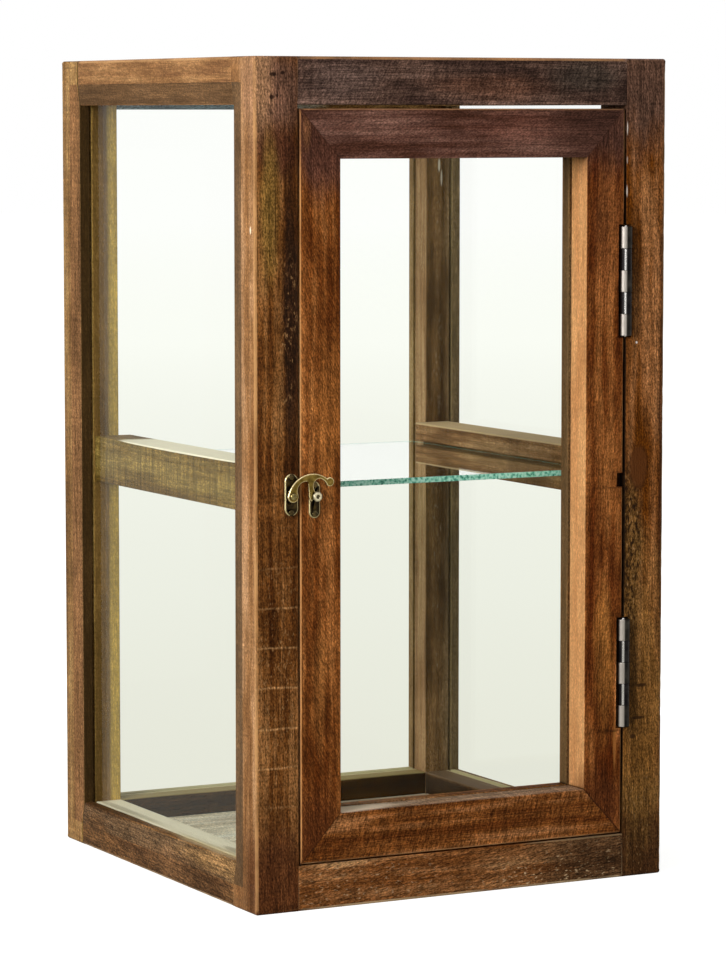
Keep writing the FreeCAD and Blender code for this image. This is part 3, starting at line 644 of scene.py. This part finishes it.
# Two sawn battens just inside the side panes, each with a groove that the glass shelf slides
# in. The left one is left olive from the saw, the right one is browner, and both tops are drawn
# pale, partly dust and partly a painted sheen.
battens = {
    "left_batten": dict(
        tones=("#6c5024", "#7c602e", "#90743e", "#cbb88e"), shift=(8.2, 0.05, 0.04), hatch=0.2, saw=0.5,
        calm=(0.3, 0.3),
        # Pale top: partly dust, partly a painted sheen.
        marks=(((-133, -20, 302), (60, 115, 1.4), "#fff2de", 0.95, *cut_sharp),),
    ),
    "right_batten": dict(
        tones=("#6a4a2e", "#886342", "#a07c58", "#b89e78"), shift=(8.7, 0.06, 0.07), hatch=0.3, saw=0.2,
        calm=(0.45, 0.45),
        # Pale top: partly dust, partly a painted sheen.
        marks=(((133, 0, 302), (60, whole_length, 1.4), "#c4a884", 0.9, *firm),),
    ),
}
for batten, look in battens.items():
    wood = waxed_timber(batten + "_sawn_hardwood", "Y", **look)
    solid = eased_copy(batten, 0.5, 11.0, 4.0, 0.6, case_hull)
    fit_piece(batten + "_wood", solid, [wood], "carcass", "batten_wood", batten)


# The floor of the case: one thin board let into grooves of the bottom rails, waxed, and drawn
# near white, partly dust and partly a painted sheen of the bright studio.
wood = waxed_timber(
    "floor_board_waxed_hardwood", "X", ("#d6c2aa", "#f4e2cc", "#fff4e6", "#e0d0b8"), (9.3, 0.05, 0.06),
    hatch=0.4, calm=(0.3, 0.3), stains=(((60, 90, 14), (150, 60, 8), "#6a4a3a", 0.6),),
)
solid = eased_copy("base_panel", 0.3, 11.0, 6.0, 0.2, case_hull)
fit_piece("floor_board", solid, [wood], "carcass", "base_wood", "base_panel")


# Float glass 3 and 4 mm thick, set in grooves and, on top, in a rebate. It bends light a little
# where the old sheet is not quite flat, and has the faint green of soda glass.
def window_glass(name, tint, ior, wave):
    """Soda glass drawn as one sheet. The eye gets clear white with a breath of green, sharp
    reflections, and a slow wave across them about 70 mm long. ior is set below that of real glass
    on the panes, where each sheet would otherwise veil the case with the white studio."""
    finish = bpy.data.materials.new(name)
    finish.use_nodes = True
    tree = finish.node_tree
    tree.nodes.clear()
    path = add_node(tree, "ShaderNodeLightPath").outputs
    place = add_node(tree, "ShaderNodeTexCoord").outputs["Object"]
    swell = add_node(tree, "ShaderNodeTexNoise", {
        "Vector": place, "Scale": 1000 / 70.0, "Detail": 0.0,
    }).outputs[0]
    relief = add_node(tree, "ShaderNodeBump", {
        "Height": swell, "Strength": wave, "Distance": 0.0004,
    }).outputs[0]
    body = add_node(tree, "ShaderNodeBsdfPrincipled", {
        "Base Color": linear(tint), "Roughness": 0.0, "IOR": ior, "Transmission Weight": 1.0,
        "Normal": relief,
    }).outputs[0]
    # Light falls on the wood through plain clear sheet, without noise from its bending.
    clear = add_node(tree, "ShaderNodeBsdfTransparent", {"Color": linear("#f2f6f0")}).outputs[0]
    open_air = add_node(tree, "ShaderNodeMixShader", {
        0: path["Is Diffuse Ray"], 1: body, 2: clear,
    }).outputs[0]
    lamp_lit = add_node(tree, "ShaderNodeMixShader", {
        0: path["Is Shadow Ray"], 1: open_air, 2: clear,
    }).outputs[0]
    add_node(tree, "ShaderNodeOutputMaterial", {"Surface": lamp_lit})
    return finish


pane_glass = window_glass("float_glass_pane", "#fefffd", 1.12, 0.1)
for pane in ("left_pane", "right_pane", "rear_pane", "top_pane"):
    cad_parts[pane].data.materials.clear()
    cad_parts[pane].data.materials.append(pane_glass)


# The shelf: a loose sheet of 4 mm float glass with ground edges, which show the deep green
# that its thickness gives.
shelf_clear = window_glass("float_glass_shelf", "#fdfffe", 1.5, 0.01)
shelf_edge = bpy.data.materials.new("ground_glass_edge")
shelf_edge.use_nodes = True
tree = shelf_edge.node_tree
tree.nodes.clear()
place = add_node(tree, "ShaderNodeTexCoord").outputs["Object"]
chips = add_node(tree, "ShaderNodeTexNoise", {
    "Vector": place, "Scale": 1000 / 2.4, "Detail": 3.0,
}).outputs[0]
green = add_node(tree, "ShaderNodeValToRGB", {"Fac": chips}, ramp=[
    (0.36, "#34907c"), (0.46, "#86dcc8"), (0.62, "#ccfaf0"),
]).outputs[0]
grind = add_node(tree, "ShaderNodeBump", {
    "Height": chips, "Strength": 0.4, "Distance": 0.0004,
}).outputs[0]
rim = add_node(tree, "ShaderNodeBsdfPrincipled", {
    "Base Color": green, "Roughness": 0.18, "IOR": 1.5, "Normal": grind,
})
add_node(tree, "ShaderNodeOutputMaterial", {"Surface": rim.outputs[0]})
sheet = eased_copy("glass_shelf", 0.4, 3.0)
shelf = fit_piece("shelf_sheet", sheet, [shelf_clear, shelf_edge], "shelf", "shelf_glass", "glass_shelf")
for face in shelf.data.polygons:
    face.material_index = 0 if abs(face.normal.z) > 0.95 else 1


# The door: four members mitred and glued round a pane in a groove, of one redder board. Its
# closing edge is planed back a little so that it clears the post.
# In each member, side holds lighter tones for the faces that look left, the hinge stile's reveal most of
# all: painted light from the lamp on the left.
door_members = {
    "door_latch_stile": ("Z", dict(
        tones=("#5c2d0d", "#7b451c", "#a26634", "#c99058"), side=("#8f5e36", "#a8754a", "#be8e60"),
        calm=(0.15, 0.5),
        shift=(10.2, 0.05, 0.06), hatch=0.65, saw=0.08, lean=24.0,
        joints=(
            ((-126.3, -160, 32.2), (-0.735, 0, 0.679), 0.5),
            ((-126.3, -160, 540.5), (0.740, 0, 0.673), 0.4),
        ),
        stains=(
            ((-111, -160, 522), (34, 20, 46), "#553428", 0.95),
            ((-121, -160, 524), (4, 20, 14), "#8a5a3a", 0.8),
            ((-111, -160, 40), (30, 20, 60), "#5c3014", 0.85),
            ((-104, -160, 340), (14, 20, 70), "#ac6c34", 0.5),
            ((-112, -160, 150), (8, 20, 60), "#96602f", 0.5),
        ),
    )),
    "door_hinge_stile": ("Z", dict(
        tones=("#5b290b", "#78411a", "#9e6130", "#cc965c"), side=("#bd8452", "#c48d5a", "#cb9661"),
        calm=(0.1, 0.6),
        shift=(10.8, 0.07, 0.03), hatch=0.5, saw=0.08, lean=-12.0,
        joints=(
            ((126.5, -160, 32.2), (0.735, 0, 0.679), 0.7), ((126.5, -160, 540.5), (0.740, 0, -0.673), 0.1),
        ),
        stains=(
            ((116, -160, 534), (70, 20, 48), "#4e3228", 0.95),
            ((97, -131, 288), (20, 9, whole_length), "#624830", 0.95),
            ((112, -160, 455), (15, 20, 62), "#9c6034", 0.5),
            ((112, -160, 150), (10, 20, 70), "#b07436", 0.5),
            ((124, -160, 140), (4, 20, 50), "#c88048", 0.7),
            ((106, -160, 54), (34, 20, 34), "#582e14", 0.85),
        ),
        marks=(((121, -160, 94), (1.8, 5, 24), "#b8783c", 0.5),),
    )),
    "door_top_rail": ("X", dict(
        tones=("#4d2e22", "#664438", "#805c4e", "#b5835a"), shift=(11.3, 0.03, 0.05), hatch=0.35, saw=0.08,
        joints=(
            ((-126.3, -160, 540.5), (0.740, 0, 0.673), 0.4),
            ((126.5, -160, 540.5), (0.740, 0, -0.673), 0.1),
        ),
        lean=30.0, calm=(0.15, 0.3),
        stains=(
            ((40, -160, 528), (50, 20, 12), "#74483a", 0.5),
            ((118, -160, 524), (64, 20, 70), "#4e3228", 0.95),
        ),
    )),
    "door_bottom_rail": ("X", dict(
        tones=("#623412", "#7e4a20", "#a06a3e", "#cd9a66"), shift=(11.9, 0.06, 0.04), hatch=0.65, saw=0.26,
        joints=(
            ((-126.3, -160, 32.2), (-0.735, 0, 0.679), 0.5), ((126.5, -160, 32.2), (0.735, 0, 0.679), 0.7),
        ),
        # The sill that faces up is drawn paler, palest at its left end: partly dust, partly a painted
        # sheen.
        lean=70.0, stains=(((0, -148, 65.2), (whole_length, 13, 1.2), "#92745a", 0.9, *firm),),
        marks=(((-112, -150, 65.2), (90, 13, 1.2), "#e6d0b8", 0.8),),
    )),
}
door_hull = (
    Vector(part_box("door_latch_stile")[0]),
    Vector((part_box("door_hinge_stile")[1][0], 1.0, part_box("door_top_rail")[1][2])),
)
for member, (along, look) in door_members.items():
    wood = waxed_timber(member + "_waxed_hardwood", along, **look)
    solid = eased_copy(member, 0.35, 9.0, 4.0, 0.7, door_hull)
    fit_piece(member + "_wood", solid, [wood], "door", "door_wood", member)

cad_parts["door_pane"].data.materials.clear()
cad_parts["door_pane"].data.materials.append(pane_glass)


# Two butt hinges of pressed steel, five knuckles each round a plain pin. They have gone dark.
# Across the near side of the knuckles a band is drawn bright: partly wear where hands touch,
# partly a painted highlight, and on the darker knuckles and the pins a thin painted highlight line.
# Where the pins stand, and the way across the knuckles' side that carries that band, in radii.
hinge_axis = (0.12725, -0.1604, 0.0)
knuckle_radius = 0.0047
across_knuckle = (0.885 / knuckle_radius, -0.4655 / knuckle_radius, 0.0)


def old_metal(name, dark, middle, bright, rubbed, dullness, grime_mm, wear_and_highlight_band=None):
    """Metal gone dark with age. The eye gets a mottled skin, brighter on rubbed edges, and
    highlights that break up over fine scratches. The last argument, given for the hinge steels, is
    how far across the near side of the hinge knuckles, from -1 to 1, the rubbed colour is laid as a
    band: partly wear from opening hands, partly a painted highlight."""
    finish = bpy.data.materials.new(name)
    finish.use_nodes = True
    tree = finish.node_tree
    tree.nodes.clear()
    place = add_node(tree, "ShaderNodeTexCoord").outputs["Object"]
    grime = add_node(tree, "ShaderNodeTexNoise", {
        "Vector": place, "Scale": 1000 / grime_mm, "Detail": 4.0, "Roughness": 0.65,
    }).outputs[0]
    scratch = add_node(tree, "ShaderNodeTexNoise", {
        "Vector": place, "Scale": 1000 / 0.9, "Detail": 2.0,
    }).outputs[0]
    colour = add_node(tree, "ShaderNodeValToRGB", {
        "Fac": grime,
    }, ramp=[(0.34, dark), (0.50, middle), (0.66, bright)]).outputs[0]
    worn = add_node(tree, "ShaderNodeAttribute", attribute_name="wear").outputs["Fac"]
    # Painted highlight, partly wear: on the hinge steels the rubbed colour is laid as a band across the
    # knuckles' near side, placed by position round the pin.
    if wear_and_highlight_band:
        low, high = wear_and_highlight_band
        across = add_node(tree, "ShaderNodeVectorMath", {
            0: place, 1: hinge_axis,
        }, operation="SUBTRACT").outputs[0]
        across = add_node(tree, "ShaderNodeVectorMath", {
            0: across, 1: across_knuckle,
        }, operation="DOT_PRODUCT").outputs["Value"]
        rises = add_node(tree, "ShaderNodeMapRange", {
            "Value": across, "From Min": low, "From Max": low + 0.2,
        }).outputs[0]
        falls = add_node(tree, "ShaderNodeMapRange", {
            "Value": across, "From Min": high + 0.16, "From Max": high,
        }).outputs[0]
        worn = add_node(tree, "ShaderNodeMath", {0: rises, 1: falls}, operation="MULTIPLY").outputs[0]
    worn = add_node(tree, "ShaderNodeMath", {0: worn, 1: 0.8}, operation="MULTIPLY").outputs[0]
    colour = add_node(tree, "ShaderNodeMix", {
        0: worn, 6: colour, 7: linear(rubbed),
    }, data_type="RGBA").outputs[2]
    rough = add_node(tree, "ShaderNodeMapRange", {
        "Value": grime, "From Min": 0.3, "From Max": 0.7,
        "To Min": dullness + 0.12, "To Max": dullness - 0.1,
    }).outputs[0]
    tumbled = add_node(tree, "ShaderNodeBevel", {"Radius": 0.0004}, samples=6).outputs[0]
    relief = add_node(tree, "ShaderNodeBump", {
        "Height": scratch, "Strength": 0.05 if wear_and_highlight_band else 0.2, "Distance": 0.0002, "Normal": tumbled,
    }).outputs[0]
    metal = add_node(tree, "ShaderNodeBsdfPrincipled", {
        "Base Color": colour, "Metallic": 1.0, "Roughness": rough, "Normal": relief,
    })
    add_node(tree, "ShaderNodeOutputMaterial", {"Surface": metal.outputs[0]})
    return finish


# On the post leaves the wide band is partly wear and partly painted highlight; on the door leaves and pins
# the narrow band is a painted highlight line.
bright_steel = old_metal(
    "rubbed_and_highlit_grey_steel", "#1a1816", "#26231f", "#38342f", "#a09890", 0.38, 6.0, wear_and_highlight_band=(-0.72, 0.10),
)
dark_steel = old_metal(
    "blackened_steel_painted_highlight", "#141213", "#1f1c1c", "#2c2928", "#c4c0bc", 0.24, 6.0, wear_and_highlight_band=(-0.28, 0.04),
)
for hinge in ("upper_hinge", "lower_hinge"):
    for leaf, body, steel in (
        ("post_leaf", "carcass", bright_steel),
        ("door_leaf", "door", dark_steel),
        ("pin", "carcass", dark_steel),
    ):
        node = hinge + "_" + leaf
        merged = bmesh.new()
        merged.from_mesh(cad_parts[node].data)
        bmesh.ops.remove_doubles(merged, verts=merged.verts, dist=weld)
        bmesh.ops.recalc_face_normals(merged, faces=merged.faces)
        solid = bpy.data.meshes.new(node + "_dressed")
        merged.to_mesh(solid)
        merged.free()
        solid.shade_smooth()
        solid.set_sharp_from_angle(angle=math.radians(32))
        fit_piece(node + "_steel", solid, [steel], body, "hinge_steel", node)


# Slotted screws. Flat steel ones hold the hinge leaves and small round-headed brass ones the
# latch plates. Each is turned, slotted with a saw, and stopped at its own angle when driven.
driven = bpy.data.node_groups.new("slotted_screw", "GeometryNodeTree")
for name, kind, in_out in (
    ("Places", "NodeSocketGeometry", "INPUT"),
    ("Head Radius", "NodeSocketFloat", "INPUT"),
    ("Head Height", "NodeSocketFloat", "INPUT"),
    ("Slot Width", "NodeSocketFloat", "INPUT"),
    ("Slot Depth", "NodeSocketFloat", "INPUT"),
    ("Shank Radius", "NodeSocketFloat", "INPUT"),
    ("Shank Length", "NodeSocketFloat", "INPUT"),
    ("Sink", "NodeSocketFloat", "INPUT"),
    ("Seed", "NodeSocketInt", "INPUT"),
    ("Metal", "NodeSocketMaterial", "INPUT"),
    ("Screws", "NodeSocketGeometry", "OUTPUT"),
):
    driven.interface.new_socket(name, in_out=in_out, socket_type=kind)
given = add_node(driven, "NodeGroupInput").outputs
ball = add_node(driven, "GeometryNodeMeshUVSphere", {
    "Segments": 28, "Rings": 14, "Radius": 1.0,
}).outputs["Mesh"]
squash = add_node(driven, "ShaderNodeCombineXYZ", {
    0: given["Head Radius"], 1: given["Head Radius"], 2: given["Head Height"],
}).outputs[0]
head = add_node(driven, "GeometryNodeTransform", {"Geometry": ball, "Scale": squash}).outputs[0]
reach = add_node(driven, "ShaderNodeMath", {
    0: given["Head Radius"], 1: 3.0,
}, operation="MULTIPLY").outputs[0]
drop = add_node(driven, "ShaderNodeMath", {
    0: given["Slot Depth"], 1: 2.0,
}, operation="MULTIPLY").outputs[0]
blade = add_node(driven, "ShaderNodeCombineXYZ", {0: reach, 1: given["Slot Width"], 2: drop}).outputs[0]
cutter = add_node(driven, "GeometryNodeMeshCube", {"Size": blade}).outputs["Mesh"]
crown = add_node(driven, "ShaderNodeCombineXYZ", {2: given["Head Height"]}).outputs[0]
cutter = add_node(driven, "GeometryNodeTransform", {"Geometry": cutter, "Translation": crown}).outputs[0]
slotted = add_node(driven, "GeometryNodeMeshBoolean", {
    "Mesh 1": head, "Mesh 2": cutter,
}, operation="DIFFERENCE").outputs["Mesh"]
shank = add_node(driven, "GeometryNodeMeshCylinder", {
    "Vertices": 16, "Radius": given["Shank Radius"], "Depth": given["Shank Length"],
}).outputs["Mesh"]
half = add_node(driven, "ShaderNodeMath", {
    0: given["Shank Length"], 1: -0.5,
}, operation="MULTIPLY").outputs[0]
below = add_node(driven, "ShaderNodeCombineXYZ", {2: half}).outputs[0]
shank = add_node(driven, "GeometryNodeTransform", {"Geometry": shank, "Translation": below}).outputs[0]
screw = add_node(driven, "GeometryNodeJoinGeometry")
driven.links.new(slotted, screw.inputs[0])
driven.links.new(shank, screw.inputs[0])
sunk = add_node(driven, "ShaderNodeMath", {0: given["Sink"], 1: -1.0}, operation="MULTIPLY").outputs[0]
sunk = add_node(driven, "ShaderNodeCombineXYZ", {2: sunk}).outputs[0]
screw = add_node(driven, "GeometryNodeTransform", {
    "Geometry": screw.outputs[0], "Translation": sunk,
}).outputs[0]
aim = add_node(driven, "GeometryNodeInputNamedAttribute", {
    "Name": "aim",
}, data_type="FLOAT_VECTOR").outputs["Attribute"]
aim = add_node(driven, "FunctionNodeAlignRotationToVector", {"Vector": aim}, axis="Z").outputs[0]
spots = add_node(driven, "GeometryNodeMeshToPoints", {"Mesh": given["Places"]}).outputs[0]
set_in = add_node(driven, "GeometryNodeInstanceOnPoints", {
    "Points": spots, "Instance": screw, "Rotation": aim,
}).outputs[0]
stop = add_node(driven, "FunctionNodeRandomValue", {
    "Min": (0, 0, 0), "Max": (0, 0, math.pi), "Seed": given["Seed"],
}, data_type="FLOAT_VECTOR").outputs[0]
set_in = add_node(driven, "GeometryNodeRotateInstances", {
    "Instances": set_in, "Rotation": stop,
}).outputs[0]
whole = add_node(driven, "GeometryNodeRealizeInstances", {"Geometry": set_in}).outputs[0]
whole = add_node(driven, "GeometryNodeSetMaterial", {
    "Geometry": whole, "Material": given["Metal"],
}).outputs[0]
add_node(driven, "NodeGroupOutput", {"Screws": whole})


def drive_screws(name, places, aim, sizes, seed, metal, body, slot, node):
    """Screws at each place (mm), pointing out along aim, with sizes in mm by input name."""
    marks = bpy.data.meshes.new(name)
    marks.from_pydata([[c / 1000 for c in place] for place in places], [], [])
    pointing = marks.attributes.new("aim", "FLOAT_VECTOR", "POINT")
    for mark in pointing.data:
        mark.vector = aim
    jig = bpy.data.objects.new(name + "_jig", marks)
    scene.collection.objects.link(jig)
    tool = jig.modifiers.new("screws", "NODES")
    tool.node_group = driven
    inputs = {item.name: item.identifier for item in driven.interface.items_tree if item.in_out == "INPUT"}
    for size, value in sizes.items():
        tool[inputs[size]] = value / 1000
    tool[inputs["Seed"]] = seed
    tool[inputs["Metal"]] = metal
    jig.update_tag()
    bpy.context.view_layer.update()
    made = bpy.data.meshes.new_from_object(jig.evaluated_get(bpy.context.evaluated_depsgraph_get()))
    bpy.data.objects.remove(jig)
    made.shade_smooth()
    made.set_sharp_from_angle(angle=math.radians(35))
    return fit_piece(name, made, [metal], body, slot, node)


plate_brass = old_metal("dark_brass_plate", "#1a130c", "#2a2114", "#46381e", "#d8c896", 0.34, 4.0)
hook_brass = old_metal("antique_brass_hook", "#4e3e18", "#705b28", "#8e763a", "#f0dca8", 0.28, 5.0)
stud_brass = old_metal("worn_brass_stud", "#363024", "#4c4432", "#686048", "#d2c6a6", 0.34, 3.0)
rivet_brass = old_metal("worn_brass_rivet", "#5e5232", "#7e7046", "#a09264", "#e8d8b0", 0.26, 3.0)
screw_brass = old_metal("old_brass_screw", "#2c2416", "#463a24", "#645434", "#e0d0a0", 0.22, 4.0)
leaf_head = 2.9
flats = leaf_head * math.cos(math.pi / 8)
for node, body, edge, aim, seed in (
    ("hinge_post_screws", "carcass", 0, (-1.0, 0.0, 0.0), 3),
    ("hinge_door_screws", "door", 1, (1.0, 0.0, 0.0), 8),
):
    corners = [[c * 1000 for c in corner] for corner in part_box(node)]
    near_y, far_y = corners[0][1] + flats, corners[1][1] - flats
    foot, top = corners[0][2] + flats, corners[1][2] - flats
    pitch = 27.0
    heights = ((foot, near_y), (foot + pitch, far_y), (foot + 2 * pitch, near_y))
    heights += ((top - 2 * pitch, near_y), (top - pitch, far_y), (top, near_y))
    places = [(corners[edge][0], y, z) for z, y in heights]
    drive_screws(node + "_steel", places, aim, {
        "Head Radius": leaf_head, "Head Height": 0.30, "Slot Width": 0.7, "Slot Depth": 0.22,
        "Shank Radius": 1.4, "Shank Length": 13.0, "Sink": 0.28,
    }, seed, dark_steel, body, "hinge_steel", node)
for node, body, seed in (("latch_screws", "carcass", 5), ("catch_screws", "door", 12)):
    low, high = ([c * 1000 for c in corner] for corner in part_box(node))
    half = (high[0] - low[0]) / 2
    places = [(low[0] + half, low[1] + 0.6, z) for z in (low[2] + half, high[2] - half)]
    drive_screws(node + "_brass", places, (0.0, -1.0, 0.0), {
        "Head Radius": 1.9, "Head Height": 0.58, "Slot Width": 0.5, "Slot Depth": 0.32,
        "Shank Radius": 0.9, "Shank Length": 9.0, "Sink": 0.0,
    }, seed, screw_brass, body, "latch_brass", node)


# The latch: a swing hook of cast brass on a plate screwed to the post, and a stud on a second
# plate on the door that the hook drops over. Flats have gone nearly black, edges stay bright.
dish_lip, dish_wall, dish_depth = 0.0010, 0.0003, 0.0006
rubbed_depth = 0.0004
for node, body, brass, ease in (
    ("latch_plate", "carcass", plate_brass, 1.1), ("catch_plate", "door", plate_brass, 1.0),
    ("latch_arm", "latch_arm", hook_brass, 0.75), ("catch_stud", "door", stud_brass, 0.5),
):
    solid = eased_copy(node, ease, 0.2, front=True, sharp=40)
    if node == "catch_stud":
        dished = bmesh.new()
        dished.from_mesh(solid)
        crown = max((f for f in dished.faces if f.normal.y < -0.9), key=lambda f: f.calc_area())
        bmesh.ops.inset_individual(dished, faces=[crown], thickness=dish_lip)
        bmesh.ops.inset_individual(dished, faces=[crown], thickness=dish_wall, depth=-dish_depth)
        rim = min(vert.co.y for vert in dished.verts) + rubbed_depth
        for vert in dished.verts:
            vert[dished.verts.layers.float["wear"]] = 1.25 if vert.co.y < rim else 0.0
        dished.to_mesh(solid)
        dished.free()
    fit_piece(node + "_brass", solid, [brass], body, "latch_brass", node)

# The rivet that the hook turns on is turned with a full round head.
low, high = (Vector(corner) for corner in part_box("latch_rivet"))
head_radius = (high.x - low.x) / 2
turned = bmesh.new()
rings = []
around = 28
for radius, height in (
    (0.5, 1.0), (0.5, 0.16), (0.97, 0.16), (1.0, 0.10),
    (0.90, 0.06), (0.70, 0.025), (0.42, 0.008), (0.14, 0.0),
):
    y = low.y + height * (high.y - low.y)
    rings.append([turned.verts.new((
        (low.x + high.x) / 2 + head_radius * radius * math.cos(k * math.tau / around), y,
        (low.z + high.z) / 2 + head_radius * radius * math.sin(k * math.tau / around),
    )) for k in range(around)])
for first, second in zip(rings, rings[1:]):
    for k in range(around):
        turned.faces.new((first[k], first[k - 1], second[k - 1], second[k]))
turned.faces.new(rings[0])
turned.faces.new(rings[-1])
bmesh.ops.recalc_face_normals(turned, faces=turned.faces)
rivet = bpy.data.meshes.new("latch_rivet_dressed")
turned.to_mesh(rivet)
turned.free()
rivet.shade_smooth()
rivet.set_sharp_from_angle(angle=math.radians(50))
fit_piece("latch_rivet_brass", rivet, [rivet_brass], "carcass", "latch_brass", "latch_rivet")
